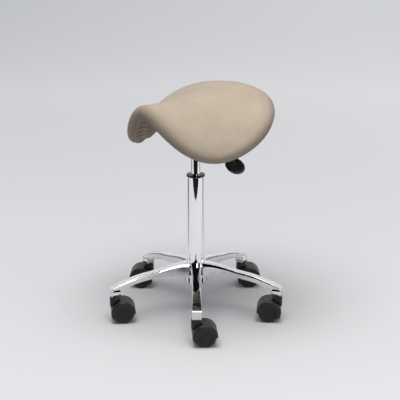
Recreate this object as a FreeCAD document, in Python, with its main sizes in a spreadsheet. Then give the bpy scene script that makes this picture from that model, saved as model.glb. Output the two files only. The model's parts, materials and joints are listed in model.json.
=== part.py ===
import FreeCAD, Part
import math
import os
import Sketcher

Vector = FreeCAD.Vector
document = FreeCAD.newDocument("saddle_stool")
sheet = document.addObject("Spreadsheet::Sheet", "sizes")

# Driving dimensions: millimetres and degrees. The origin is the floor point under the column,
# the rider faces -Y, and heights are measured from the floor with the seat as it was left.
driving = {
    # castors
    "castor_trail": 21.0, "wheel_radius": 30.0, "wheel_width": 20.0, "wheel_gap": 16.6,
    "wheel_play": 0.6, "tread_bevel": 1.5, "face_drop": 1.0, "axle_radius": 4.0, "axle_half": 25.0,
    "hood_gap": 1.3, "hood_wall": 2.8, "skirt_wall": 2.0, "skirt_cover": 9.0, "rear_drop": 3.5,
    "front_drop": 18.5, "front_start": 23.0, "housing_radius": 13.5, "housing_rise": 8.7,
    "housing_foot": 23.5, "web_drop": 9.0, "stem_radius": 5.5, "stem_lift": 13.5, "stem_cap": 1.0,
    "ring_lift": 14.0, "ring_thick": 3.0, "ring_radius": 6.0, "neck_radius": 4.6,
    # star base
    "base_turn": 318.0, "leg_count": 5, "leg_reach": 249.0, "leg_end_width": 26.5,
    "leg_end_height": 23.0, "leg_end_length": 27.0, "leg_end_bevel": 3.0, "leg_clearance": 1.2,
    "hub_wall": 4.5, "hub_foot_wall": 6.0, "hub_foot_height": 18.0, "hub_shoulder": 14.0,
    "hub_lip": 1.5, "hub_drop": 9.0, "hub_height": 59.0,
    # column
    "column_radius": 25.0, "column_wall": 1.8, "column_lift": 3.0, "exposed_tube": 83.0,
    "end_plate": 5.0, "bush_length": 73.0, "collar_height": 6.0, "collar_lip": 0.6,
    "collar_bevel": 1.5, "mouth_bevel": 2.0,
    # thrust bearing
    "ball_radius": 1.6, "ball_count": 10, "ball_circle": 9.5, "ball_slack": 0.02, "race_thick": 1.5,
    "race_play": 0.6, "race_outer": 12.5, "cage_half": 2.2, "cage_lift": 0.8, "cage_thick": 1.6,
    # piston rod and what is on it
    "rod_radius": 5.0, "rod_overhang": 9.0, "rod_bevel": 1.0, "thread_step": 1.5, "thread_end": 4.0,
    "clip_lip": 4.0, "clip_thick": 1.5, "clip_gap": 0.4, "stop_height": 18.0, "stop_inset": 0.5,
    "stop_taper": 4.0, "piston_drop": 23.0, "piston_length": 12.0, "groove_lift": 4.0,
    "groove_width": 4.0, "groove_depth": 1.6, "piston_nut_wall": 3.0, "piston_nut_height": 3.5,
    # gas spring
    "gas_radius": 14.0, "gas_wall": 2.2, "gas_lift": 119.0, "gas_stand": 6.0, "taper_length": 44.0,
    "taper_step": 1.0, "crimp": 1.0, "guide_length": 20.0, "seal_length": 8.0, "tube_gap": 1.6,
    "tube_wall": 0.8, "valve_length": 38.0, "valve_set": 1.5, "pin_radius": 2.5, "pin_foot": 2.0,
    "button_radius": 4.0, "button_lift": 3.0, "button_height": 4.0,
    # seat mechanism
    "socket_wall": 4.0, "socket_bevel": 1.0, "socket_lip": 4.0, "housing_depth": 27.0,
    "sheet_thick": 2.5, "housing_back": 30.0, "housing_front": 38.0, "housing_half": 26.0,
    "slot_play": 1.6, "pin_end": 2.0, "plate_drop": 26.5, "plate_thick": 3.0, "plate_width": 104.0,
    "plate_depth": 108.0, "window_radius": 12.0, "bolt_radius": 4.0, "bolt_reach": 35.0,
    "bolt_tip": 1.0, "washer_thick": 1.6, "washer_radius": 8.0, "head_height": 5.3,
    "head_corner": 7.4, "nut_flange": 5.0, "nut_flange_thick": 1.5, "nut_wall": 1.0,
    "nut_setback": 2.2, "nut_proud": 0.7, "block_radius": 58.0, "opening_radius": 64.0,
    "opening_drop": 12.5,
    # lever
    "pivot_out": 26.0, "pivot_radius": 3.0, "nose_radius": 4.0, "nose_gap": 0.1, "yoke_half": 9.0,
    "yoke_wall": 3.0, "arm_thick": 6.0, "arm_drop": 2.0, "arm_past": 8.3, "yoke_end_out": 2.5,
    "yoke_end_half": 6.0, "rod_setback": 1.5, "lever_radius": 4.0, "lever_bend_out": 60.0,
    "lever_end_out": 154.5, "lever_slope": 41.0, "bend_radius": 16.0, "paddle_width": 62.0,
    "paddle_length": 54.0, "paddle_thick": 9.0,
    # saddle
    "saddle_front": 179.3, "saddle_rear": 165.3, "saddle_shift": 6.9, "saddle_half": 184.0,
    "saddle_egg": 0.214, "saddle_height": 601.5, "pad_half": 23.0, "cover_thick": 1.4,
    "shell_top": 14.0, "shell_edge": 0.9,
    # fits, and how far a cutting tool runs past the face it cuts
    "running": 0.05, "loose": 0.2, "overrun": 4.0,
}

for row, (alias, number) in enumerate(driving.items(), start=1):
    sheet.set(f"A{row}", alias)
    sheet.set(f"B{row}", str(number))
    sheet.setAlias(f"B{row}", alias)
document.recompute()


class Dim:
    """A length held both as a number and as the sheet expression that drives it."""

    def __init__(self, number, text):
        self.number = number
        self.text = text

    def __float__(self):
        return float(self.number)

    def __add__(self, other):
        other = as_dim(other)
        return Dim(self.number + other.number, f"({self.text} + {other.text})")

    def __sub__(self, other):
        other = as_dim(other)
        return Dim(self.number - other.number, f"({self.text} - {other.text})")

    def __rsub__(self, other):
        return as_dim(other) - self

    def __mul__(self, factor):
        return Dim(self.number * factor, f"({self.text} * {factor})")

    def __neg__(self):
        return Dim(-self.number, f"(0 - {self.text})")

    __radd__ = __add__


def as_dim(value):
    return value if isinstance(value, Dim) else Dim(value, repr(float(value)))


class Sizes:
    """Every driving dimension as an attribute, read back from the sheet."""

    def __init__(self):
        for alias in driving:
            setattr(self, alias, Dim(float(getattr(sheet, alias)), f"sizes.{alias}"))


s = Sizes()
parts = {}

# Sizes and heights that follow from the driving ones. The base stands on its castors, and the
# mechanism, the gas spring and the top of the column hang from the saddle.
s.hood_room = s.wheel_radius + s.hood_gap
s.hood_radius = s.hood_room + s.hood_wall
s.hood_top = s.wheel_radius + s.hood_radius + s.housing_rise
s.skirt_inner = s.wheel_radius - s.skirt_cover
s.skirt_bottom = s.wheel_radius - s.rear_drop
s.front_bottom = s.wheel_radius - s.front_drop
s.leg_end_bottom = s.hood_top + s.leg_clearance
s.leg_end_top = s.leg_end_bottom + s.leg_end_height
s.stem_circle = s.leg_reach - s.leg_end_length * 0.5
s.stem_foot = s.wheel_radius + s.stem_lift
s.stem_top = s.leg_end_top - s.stem_cap
s.ring_height = s.leg_end_bottom + s.ring_lift
s.hub_radius = s.column_radius + s.hub_wall
s.hub_foot_radius = s.column_radius + s.hub_foot_wall
s.hub_bottom = s.leg_end_top - s.hub_drop
s.hub_top = s.hub_bottom + s.hub_height
s.column_bottom = s.hub_bottom + s.column_lift
s.race_inner = s.rod_radius + s.race_play
s.plate_bottom = s.saddle_height - s.pad_half - s.plate_drop
s.plate_top = s.plate_bottom + s.plate_thick
s.housing_floor = s.plate_bottom - s.housing_depth
s.gas_top = s.housing_floor + s.gas_stand
s.gas_bottom = s.column_bottom + s.gas_lift
s.gas_inner = s.gas_radius - s.gas_wall
s.taper_bottom = s.gas_top - s.taper_length
s.taper_end = s.gas_radius - s.taper_step
s.tube_outer = s.gas_inner - s.tube_gap
s.tube_inner = s.tube_outer - s.tube_wall
s.socket_radius = s.gas_radius + s.socket_wall
s.valve_bottom = s.gas_top - s.valve_length
s.button_bottom = s.gas_top + s.button_lift
s.pivot_height = s.button_bottom + s.button_height + s.nose_radius + s.nose_gap
s.column_top = s.taper_bottom - s.exposed_tube - s.collar_height
s.piston_bottom = s.column_top - s.piston_drop

# Leg sections: share of the way from the hub to the inside of the square end, then how much
# wider than the end the half width is, and the underside and top above the end's top.
leg_run = ((0.0, 3.5, 14.0, 50.0), (0.0946, 1.5, 17.0, 49.0), (0.2737, -0.5, 18.0, 44.0),
           (0.4987, -1.0, 17.0, 35.0), (0.7187, -1.0, 10.0, 28.0), (0.8926, -0.5, 1.0, 18.0),
           (1.0, 0.0, -6.0, 11.0))
leg_tip = (0.0, -14.0, 0.0)
ridge_share = 0.8
foot_share = 0.82
waist_share = 0.78


def keep(name, item):
    """Files one finished sub-part under the name of its piece."""
    item.Label = name
    parts[name] = item
    return item


def bind(item, **properties):
    for prop, value in properties.items():
        item.setExpression(prop, as_dim(value).text)


def place(item, at=(0, 0, 0), axis=(0, 0, 1), angle=0.0):
    """Turns an object about its own origin, then ties its place to the sheet."""
    point = Vector(*[float(value) for value in at])
    item.Placement = FreeCAD.Placement(point, FreeCAD.Rotation(Vector(*axis), angle))
    for coordinate, value in zip("xyz", at):
        item.setExpression(f"Placement.Base.{coordinate}", as_dim(value).text)
    return item


def cylinder(name, radius, height, at=(0, 0, 0), axis=(0, 0, 1), angle=0.0):
    item = document.addObject("Part::Cylinder", name)
    bind(item, Radius=radius, Height=height)
    return place(item, at, axis, angle)


def box(name, length, width, height, at):
    item = document.addObject("Part::Box", name)
    bind(item, Length=length, Width=width, Height=height)
    return place(item, at)


def fuse(name, *shapes):
    item = document.addObject("Part::MultiFuse", name)
    item.Shapes = list(shapes)
    return item


def cut(name, base, *tools):
    item = document.addObject("Part::Cut", name)
    item.Base = base
    item.Tool = tools[0] if len(tools) == 1 else fuse(name + "_tools", *tools)
    return item


def common(name, first, second):
    item = document.addObject("Part::Common", name)
    item.Base = first
    item.Tool = second
    return item


def group(name, members):
    """Identical loose pieces that are handled as one sub-part."""
    item = document.addObject("Part::Compound", name)
    item.Links = members
    return keep(name, item)


def origin_feature(body, role):
    return next(item for item in body.Origin.OriginFeatures if item.Role == role)


def sketch_on(body, name, role, offset=0.0):
    """An empty sketch on one of the body's own origin planes, moved along its normal."""
    sketch = body.newObject("Sketcher::SketchObject", name)
    sketch.AttachmentSupport = [(origin_feature(body, role), "")]
    sketch.MapMode = "FlatFace"
    sketch.AttachmentOffset = FreeCAD.Placement(Vector(0, 0, float(offset)), FreeCAD.Rotation())
    sketch.setExpression("AttachmentOffset.Base.z", as_dim(offset).text)
    return sketch


def fix_point(sketch, line, across, along):
    """Holds the first end of a line at a driven place, or on an axis where a value is nil."""
    for kind, axis_id, value in (("DistanceX", -2, across), ("DistanceY", -1, along)):
        value = as_dim(value)
        if abs(float(value)) < 1e-9:
            sketch.addConstraint(Sketcher.Constraint("PointOnObject", line, 1, axis_id))
            continue
        index = sketch.addConstraint(Sketcher.Constraint(kind, -1, 1, line, 1, float(value)))
        sketch.setExpression(f"Constraints[{index}]", value.text)


def outline_in(sketch, corners):
    """Closed outline of straight lines whose corners are driven one by one."""
    points = [Vector(float(x), float(y), 0) for x, y in corners]
    count = len(points)
    for k in range(count):
        sketch.addGeometry(Part.LineSegment(points[k], points[(k + 1) % count]))
    for k in range(count):
        sketch.addConstraint(Sketcher.Constraint("Coincident", k, 2, (k + 1) % count, 1))
    for k, (x, y) in enumerate(corners):
        fix_point(sketch, k, x, y)


def turned(name, corners):
    """A turned piece: an outline of (radius, height) corners revolved about Z."""
    body = document.addObject("PartDesign::Body", name)
    sketch = sketch_on(body, name + "_outline", "XZ_Plane")
    outline_in(sketch, corners)
    revolution = body.newObject("PartDesign::Revolution", name + "_turning")
    revolution.Profile = sketch
    revolution.ReferenceAxis = (sketch, ["V_Axis"])
    revolution.Angle = 360.0
    return body


def ring(name, inner, outer, bottom, top):
    """A plain ring: tube, washer, race or bush."""
    return keep(name, turned(name, [(inner, bottom), (outer, bottom), (outer, top), (inner, top)]))


def leg_section(body, name, reach, half, bottom, top):
    """Leg section across its length: flat foot, full width at mid height, narrow ridge."""
    sketch = sketch_on(body, name, "YZ_Plane", reach)
    waist = bottom * (1 - waist_share) + top * waist_share
    ridge = half * ridge_share
    foot = half * foot_share
    outline_in(sketch, [
        (-foot, bottom), (foot, bottom), (half, waist), (ridge, top), (-ridge, top), (-half, waist)])
    return sketch


def star_base():
    """Cast hub with five legs; each leg droops to a square end that holds a castor stem."""
    body = document.addObject("PartDesign::Body", "star_base")
    hub = sketch_on(body, "hub_outline", "XZ_Plane")
    outline_in(hub, [
        (s.column_radius, s.hub_bottom), (s.hub_foot_radius, s.hub_bottom),
        (s.hub_foot_radius, s.hub_bottom + s.hub_foot_height), (s.hub_radius, s.hub_top - s.hub_shoulder),
        (s.column_radius + s.hub_lip, s.hub_top), (s.column_radius, s.hub_top)])
    hub_turning = body.newObject("PartDesign::Revolution", "hub_turning")
    hub_turning.Profile = hub
    hub_turning.ReferenceAxis = (hub, ["V_Axis"])
    hub_turning.Angle = 360.0

    end_half = s.leg_end_width * 0.5
    inner = s.leg_reach - s.leg_end_length
    root = s.column_radius + s.hub_lip
    stations = [(root + (inner - root) * share, end_half + wider, s.leg_end_top + low, s.leg_end_top + high)
                for share, wider, low, high in leg_run]
    wider, low, high = leg_tip
    stations.append((s.leg_reach, end_half + wider, s.leg_end_top + low, s.leg_end_top + high))
    sections = [leg_section(body, f"leg_section_{k}", *station) for k, station in enumerate(stations)]
    leg = body.newObject("PartDesign::AdditiveLoft", "leg")
    leg.Profile = sections[0]
    leg.Sections = sections[1:]

    end = sketch_on(body, "leg_end_outline", "XY_Plane", s.leg_end_bottom)
    outline_in(end, [
        (inner, -end_half), (s.leg_reach, -end_half), (s.leg_reach, end_half), (inner, end_half)])
    boss = body.newObject("PartDesign::Pad", "leg_end")
    boss.Profile = end
    bind(boss, Length=s.leg_end_height - s.leg_end_bevel)

    hole = sketch_on(body, "stem_hole_outline", "XY_Plane", s.leg_end_bottom)
    hole.addGeometry(Part.Circle(Vector(float(s.stem_circle), 0, 0), Vector(0, 0, 1), float(s.stem_radius)))
    hole.addConstraint(Sketcher.Constraint("PointOnObject", 0, 3, -1))
    centre = hole.addConstraint(Sketcher.Constraint("DistanceX", -1, 1, 0, 3, float(s.stem_circle)))
    hole.setExpression(f"Constraints[{centre}]", s.stem_circle.text)
    radius = hole.addConstraint(Sketcher.Constraint("Radius", 0, float(s.stem_radius)))
    hole.setExpression(f"Constraints[{radius}]", s.stem_radius.text)
    bore = body.newObject("PartDesign::Pocket", "stem_hole")
    bore.Profile = hole
    bore.Reversed = True
    bind(bore, Length=s.stem_top - s.leg_end_bottom)

    pattern = body.newObject("PartDesign::PolarPattern", "legs")
    pattern.Originals = [leg, boss, bore]
    pattern.Axis = (hub, ["V_Axis"])
    pattern.Angle = 360.0
    pattern.Occurrences = int(float(s.leg_count))
    body.Tip = pattern

    grooves = []
    for k in range(int(float(s.leg_count))):
        place_ring = at_leg(k)
        grooves.append(cylinder(f"ring_room_{k + 1}", s.ring_radius, s.ring_thick,
                                (place_ring.x, place_ring.y, s.ring_height)))
    body.Placement = FreeCAD.Placement(Vector(0, 0, 0), FreeCAD.Rotation(Vector(0, 0, 1), float(s.base_turn)))
    keep("star_base", cut("star_base_grooved", body, *grooves))


def at_leg(k):
    """Where the stem of leg k stands, seen from above."""
    angle = math.radians(float(s.base_turn) + 360.0 / float(s.leg_count) * k)
    reach = float(s.stem_circle)
    return Vector(reach * math.cos(angle), reach * math.sin(angle), 0)


column_inner = s.column_radius - s.column_wall
plate_top = s.column_bottom + s.end_plate
race_top = plate_top + s.race_thick
upper_race = race_top + s.ball_radius * 2 + s.ball_slack
collar_top = s.column_top + s.collar_height


def column():
    ring("outer_column", column_inner, s.column_radius, s.column_bottom, s.column_top)
    ring("column_end_plate", s.race_inner, column_inner, s.column_bottom, plate_top)
    slide = s.gas_radius + s.running
    lip = s.column_radius + s.collar_lip
    keep("guide_bush", turned("guide_bush", [
        (slide, s.column_top - s.bush_length), (column_inner, s.column_top - s.bush_length),
        (column_inner, s.column_top), (lip, s.column_top), (lip, collar_top - s.collar_bevel),
        (lip - s.collar_bevel, collar_top), (slide + s.mouth_bevel, collar_top),
        (slide, collar_top - s.mouth_bevel)]))


def thrust_bearing():
    ring("bearing_lower_race", s.race_inner, s.race_outer, plate_top, race_top)
    ring("bearing_upper_race", s.rod_radius, s.race_outer, upper_race, upper_race + s.race_thick)
    balls = []
    rooms = []
    count = int(float(s.ball_count))
    for k in range(count):
        angle = 2 * math.pi * k / count
        across = s.ball_circle * math.cos(angle)
        along = s.ball_circle * math.sin(angle)
        ball = document.addObject("Part::Sphere", f"ball_{k + 1}")
        bind(ball, Radius=s.ball_radius)
        balls.append(place(ball, (across, along, race_top + s.ball_radius)))
        rooms.append(cylinder(f"ball_room_{k + 1}", s.ball_radius + s.running, s.ball_radius * 2,
                              (across, along, race_top)))
    group("bearing_balls", balls)
    low = race_top + s.cage_lift
    high = low + s.cage_thick
    cage_in = s.ball_circle - s.cage_half
    cage_out = s.ball_circle + s.cage_half
    cage = turned("cage_blank", [(cage_in, low), (cage_out, low), (cage_out, high), (cage_in, high)])
    keep("bearing_cage", cut("bearing_cage", cage, *rooms))


def rod_and_piston():
    stop_bottom = upper_race + s.race_thick
    stop_top = stop_bottom + s.stop_height
    stop_out = s.race_outer - s.stop_inset
    clip_top = s.column_bottom - s.running - s.washer_thick - s.clip_gap
    piston_top = s.piston_bottom + s.piston_length
    rod_foot = s.column_bottom - s.rod_overhang
    thread = s.rod_radius - s.thread_step
    keep("piston_rod", turned("piston_rod", [
        (0, rod_foot), (s.rod_radius - s.rod_bevel, rod_foot), (s.rod_radius, rod_foot + s.rod_bevel),
        (s.rod_radius, s.piston_bottom), (thread, s.piston_bottom),
        (thread, piston_top + s.thread_end), (0, piston_top + s.thread_end)]))
    ring("retaining_clip", s.rod_radius, s.rod_radius + s.clip_lip, clip_top - s.clip_thick, clip_top)
    ring("clip_washer", s.rod_radius, s.race_outer, clip_top, s.column_bottom - s.running)
    keep("bump_stop", turned("bump_stop", [
        (s.rod_radius, stop_bottom), (stop_out, stop_bottom), (stop_out, stop_top - s.stop_taper),
        (s.rod_radius + s.stop_taper, stop_top), (s.rod_radius, stop_top)]))
    bore = s.tube_inner - s.running
    groove = bore - s.groove_depth
    seal_low = s.piston_bottom + s.groove_lift
    seal_high = seal_low + s.groove_width
    keep("piston", turned("piston", [
        (thread, s.piston_bottom), (bore, s.piston_bottom), (bore, seal_low), (groove, seal_low),
        (groove, seal_high), (bore, seal_high), (bore, piston_top), (thread, piston_top)]))
    ring("piston_seal", groove, bore, seal_low, seal_high)
    ring("piston_nut", thread, thread + s.piston_nut_wall, piston_top, piston_top + s.piston_nut_height)


def gas_spring():
    guide_bottom = s.gas_bottom + s.crimp
    guide_top = guide_bottom + s.guide_length
    seal_top = guide_top + s.seal_length
    valve_top = s.gas_top - s.valve_set
    keep("gas_cylinder", turned("gas_cylinder", [
        (s.gas_inner, s.gas_bottom), (s.gas_radius - s.crimp, s.gas_bottom),
        (s.gas_radius, s.gas_bottom + s.crimp),
        (s.gas_radius, s.taper_bottom), (s.taper_end, s.gas_top), (s.gas_inner, s.gas_top)]))
    ring("rod_guide", s.rod_radius + s.running, s.gas_inner, guide_bottom, guide_top)
    ring("rod_seal", s.rod_radius + s.running, s.gas_inner, guide_top, seal_top)
    ring("pressure_tube", s.tube_inner, s.tube_outer, seal_top, s.valve_bottom)
    ring("valve_body", s.pin_radius + s.running, s.gas_inner, s.valve_bottom, valve_top)
    button_top = s.button_bottom + s.button_height
    pin_bottom = s.valve_bottom - s.pin_foot
    keep("release_pin", turned("release_pin", [
        (0, pin_bottom), (s.pin_radius, pin_bottom), (s.pin_radius, s.button_bottom),
        (s.button_radius, s.button_bottom), (s.button_radius, button_top), (0, button_top)]))


def taper_socket():
    """Steel socket welded into the housing floor, bored to the taper of the gas spring."""
    rise = float(s.gas_top - s.taper_bottom)
    slope = float(s.gas_radius - s.taper_end) / rise
    top = s.housing_floor + s.socket_lip
    mouth = s.gas_radius
    throat = s.gas_radius - float(top - s.taper_bottom) * slope
    keep("taper_socket", turned("taper_socket", [
        (mouth, s.taper_bottom), (s.socket_radius - s.socket_bevel, s.taper_bottom),
        (s.socket_radius, s.taper_bottom + s.socket_bevel),
        (s.socket_radius, top), (throat, top)]))


def mechanism_housing():
    """Folded steel box, open at the top, with a slot for the lever in its outer wall."""
    depth = s.plate_bottom - s.housing_floor
    length = s.housing_back + s.housing_front
    width = s.housing_half * 2
    wall = s.sheet_thick
    outer = box("housing_outside", length, width, depth, (-s.housing_back, -s.housing_half, s.housing_floor))
    inner = box("housing_inside", length - wall * 2, width - wall * 2, depth,
                (wall - s.housing_back, wall - s.housing_half, s.housing_floor + wall))
    socket_hole = cylinder("socket_hole", s.socket_radius, wall * 3, (0, 0, s.housing_floor - wall))
    slot_half = s.lever_radius + s.slot_play
    slot = box("lever_slot", wall * 3, slot_half * 2, slot_half * 2,
               (s.housing_front - wall * 2, -slot_half, s.pivot_height - slot_half))
    pin_length = width + s.pin_end * 2
    pin_start = (s.pivot_out, s.housing_half + s.pin_end, s.pivot_height)
    pivot_hole = cylinder("pivot_hole", s.pivot_radius, pin_length, pin_start, (1, 0, 0), 90)
    keep("mechanism_housing", cut("mechanism_housing", outer, inner, socket_hole, slot, pivot_hole))
    pin = cylinder("lever_pivot_pin", s.pivot_radius, pin_length, pin_start, (1, 0, 0), 90)
    keep("lever_pivot_pin", pin)


def bolt_places():
    reach = float(s.bolt_reach)
    return [(x * reach, y * reach) for x in (-1, 1) for y in (-1, 1)]


def seat_plate():
    blank = box("plate_blank", s.plate_width, s.plate_depth, s.plate_thick,
                (s.plate_width * -0.5, s.plate_depth * -0.5, s.plate_bottom))
    below = s.plate_bottom - s.plate_thick
    holes = [cylinder("pin_window", s.window_radius, s.plate_thick * 3, (0, 0, below))]
    for k, (x, y) in enumerate(bolt_places()):
        holes.append(cylinder(f"plate_hole_{k + 1}", s.bolt_radius + s.loose, s.plate_thick * 3,
                              (x, y, below)))
    keep("seat_plate", cut("seat_plate", blank, *holes))


def plate_fasteners():
    """Four hexagon bolts with washers, screwed up into tee nuts that sit in the shell."""
    bolts = []
    washers = []
    nuts = []
    fillers = []
    head_top = s.plate_bottom - s.washer_thick
    for k, (x, y) in enumerate(bolt_places()):
        top = shell_top_at(x, y) + s.nut_proud
        low = shell_bottom_at(x, y) + s.nut_setback
        head = document.addObject("Part::Prism", f"bolt_head_{k + 1}")
        head.Polygon = 6
        bind(head, Circumradius=s.head_corner, Height=s.head_height)
        place(head, (x, y, head_top - s.head_height))
        shank = cylinder(f"bolt_shank_{k + 1}", s.bolt_radius, s.bolt_tip + top - head_top, (x, y, head_top))
        bolts.append(fuse(f"bolt_{k + 1}", head, shank))
        disc = cylinder(f"washer_disc_{k + 1}", s.washer_radius, s.washer_thick, (x, y, head_top))
        hole = cylinder(f"washer_hole_{k + 1}", s.bolt_radius + s.loose, s.washer_thick * 3,
                        (x, y, head_top - s.washer_thick))
        washers.append(cut(f"washer_{k + 1}", disc, hole))
        flange = cylinder(f"nut_flange_{k + 1}", s.bolt_radius + s.nut_flange, s.nut_flange_thick,
                          (x, y, top - s.nut_flange_thick))
        barrel = cylinder(f"nut_barrel_{k + 1}", s.bolt_radius + s.nut_wall, top - low, (x, y, low))
        thread = cylinder(f"nut_thread_{k + 1}", s.bolt_radius, top - low + s.overrun * 2,
                          (x, y, low - s.overrun))
        nut_blank = fuse(f"nut_blank_{k + 1}", flange, barrel)
        nuts.append(cut(f"tee_nut_{k + 1}", nut_blank, thread))
        tip = cylinder(f"bolt_room_{k + 1}", s.bolt_radius, s.bolt_tip + top - s.housing_floor,
                       (x, y, s.housing_floor))
        fillers.append(fuse(f"nut_room_{k + 1}", flange, barrel, tip))
    group("plate_bolts", bolts)
    group("bolt_washers", washers)
    group("tee_nuts", nuts)
    return fillers


paddle_rounding = 0.75


def lever():
    """Yoke on its pin, a rod that bends down at the side of the seat, and the paddle on its end."""
    width = s.yoke_half * 2
    pin_line = (s.pivot_out, s.yoke_half, s.pivot_height)
    boss = cylinder("yoke_boss", s.pivot_radius + s.yoke_wall, width, pin_line, (1, 0, 0), 90)
    nose = cylinder("yoke_nose", s.nose_radius, width, (0, s.yoke_half, s.pivot_height), (1, 0, 0), 90)
    arm = box("yoke_arm", s.pivot_out + s.arm_past, width, s.arm_thick,
              (0, -s.yoke_half, s.pivot_height - s.arm_drop))
    pivot_bore = cylinder("yoke_bore", s.pivot_radius + s.running, width * 2,
                          (s.pivot_out, s.yoke_half * 2, s.pivot_height), (1, 0, 0), 90)
    rod_start = s.pivot_out + s.pivot_radius + s.rod_setback
    rod_socket = cylinder("yoke_socket", s.lever_radius, width, (rod_start, 0, s.pivot_height), (0, 1, 0), 90)
    boss_end = box("yoke_end", s.arm_past - s.yoke_end_out, width, s.yoke_end_half * 2,
                   (s.pivot_out + s.yoke_end_out, -s.yoke_half, s.pivot_height - s.yoke_end_half))
    blank = fuse("yoke_blank", boss, nose, arm, boss_end)
    keep("lever_yoke", cut("lever_yoke", blank, pivot_bore, rod_socket))

    slope = math.radians(float(s.lever_slope))
    down = Vector(math.cos(slope), 0, -math.sin(slope))
    start = Vector(float(rod_start), 0, float(s.pivot_height))
    bend = Vector(float(s.lever_bend_out), 0, float(s.pivot_height))
    run = (float(s.lever_end_out) - bend.x) / down.x
    back = float(s.bend_radius) * math.tan(slope / 2)
    arc_start = bend - Vector(back, 0, 0)
    arc_end = bend + down * back
    middle = arc_start + Vector(float(s.bend_radius) * math.sin(slope / 2), 0,
                                -float(s.bend_radius) * (1 - math.cos(slope / 2)))
    tip = bend + down * run
    path = Part.Wire([
        Part.LineSegment(start, arc_start).toShape(), Part.Arc(arc_start, middle, arc_end).toShape(),
        Part.LineSegment(arc_end, tip).toShape()])
    circle = Part.Wire([Part.Circle(start, Vector(1, 0, 0), float(s.lever_radius)).toShape()])
    rod = document.addObject("Part::Feature", "lever_rod")
    rod.Shape = path.makePipeShell([circle], True, False)
    keep("lever_rod", rod)

    # Oval paddle, flat across the rod's end, with a rounded edge.
    half_thick = float(s.paddle_thick) / 2
    long_end = Vector(0, float(s.paddle_width) / 2, 0)
    short_end = Vector(float(s.paddle_length) / 2, 0, 0)
    oval = Part.Ellipse(long_end, short_end, Vector(0, 0, 0))
    blank = Part.Face(Part.Wire([oval.toShape()])).extrude(Vector(0, 0, 2 * half_thick))
    blank.translate(Vector(0, 0, -half_thick))
    rims = blank.Edges[:1] + blank.Edges[2:]
    blank = blank.makeFillet(half_thick * paddle_rounding, rims)
    blank.Placement = FreeCAD.Placement(tip, FreeCAD.Rotation(Vector(0, 1, 0), float(s.lever_slope)))
    paddle = document.addObject("Part::Feature", "lever_paddle")
    paddle.Shape = blank.cut(rod.Shape)
    keep("lever_paddle", paddle)


# Rise of the ridge and fall of the flaps, as powers of the distance forward over 200 mm.
ridge_rise = (-13.8, 16.3, 14.2, -11.6)
flap_fall = (84.5, 119.5, 75.2, 29.6)
shape_length = 200.0
crest_width = 18.0
flap_reach = 180.0
flap_power = 0.805


def saddle_mid(t, share):
    """Middle of the pad: t runs from -1 at the pommel to 1 at the rear, share across it."""
    along = -t * float(s.saddle_front if t < 0 else s.saddle_rear) - float(s.saddle_shift)
    across = share * float(s.saddle_half) * (1 + float(s.saddle_egg) * t)
    return Vector(across, -along, saddle_rise(along, across))


def saddle_rise(along, across):
    """Height of the ridge less the fall of the flaps, which is steepest at the pommel."""
    a = along / shape_length
    ridge = float(s.saddle_height) + sum(rise * a ** (k + 1) for k, rise in enumerate(ridge_rise))
    fall = sum(drop * a ** k for k, drop in enumerate(flap_fall))
    aside = ((across ** 2 + crest_width ** 2) / flap_reach ** 2) ** flap_power
    return ridge - fall * (aside - (crest_width / flap_reach) ** (2 * flap_power))


def saddle_slope(along, across):
    """How much longer a step square to the pad is when it is measured straight up."""
    step = 1e-3
    ahead = (saddle_rise(along + step, across) - saddle_rise(along - step, across)) / (2 * step)
    aside = (saddle_rise(along, across + step) - saddle_rise(along, across - step)) / (2 * step)
    return math.sqrt(1 + ahead ** 2 + aside ** 2)


def saddle_normal(t, share):
    step = 1e-3
    along = saddle_mid(t + step, share) - saddle_mid(t - step, share)
    across = saddle_mid(t, share + step) - saddle_mid(t, share - step)
    normal = across.cross(along)
    normal.normalize()
    return normal if normal.z > 0 else normal * -1


def saddle_out(angle):
    """Direction in the pad's middle surface that points straight out over its edge."""
    step = 1e-3
    ahead = saddle_mid(-math.cos(angle + step), math.sin(angle + step))
    behind = saddle_mid(-math.cos(angle - step), math.sin(angle - step))
    normal = saddle_normal(-math.cos(angle), math.sin(angle))
    out = (ahead - behind).cross(normal)
    out.normalize()
    centre = saddle_mid(-math.cos(angle) * 0.98, math.sin(angle) * 0.98)
    edge = saddle_mid(-math.cos(angle), math.sin(angle))
    return out if out.dot(edge - centre) > 0 else out * -1


ring_points = 48


def saddle_ring(scale, lift, push=0.0):
    """A closed curve round the pad, lifted off its middle surface and pushed over its edge."""
    points = []
    for k in range(ring_points):
        angle = 2 * math.pi * k / ring_points
        t = -math.cos(angle) * scale
        share = math.sin(angle) * scale
        point = saddle_mid(t, share) + saddle_normal(t, share) * lift
        if push > 0:
            point = point + saddle_out(angle) * push
        points.append(point)
    return points


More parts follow.
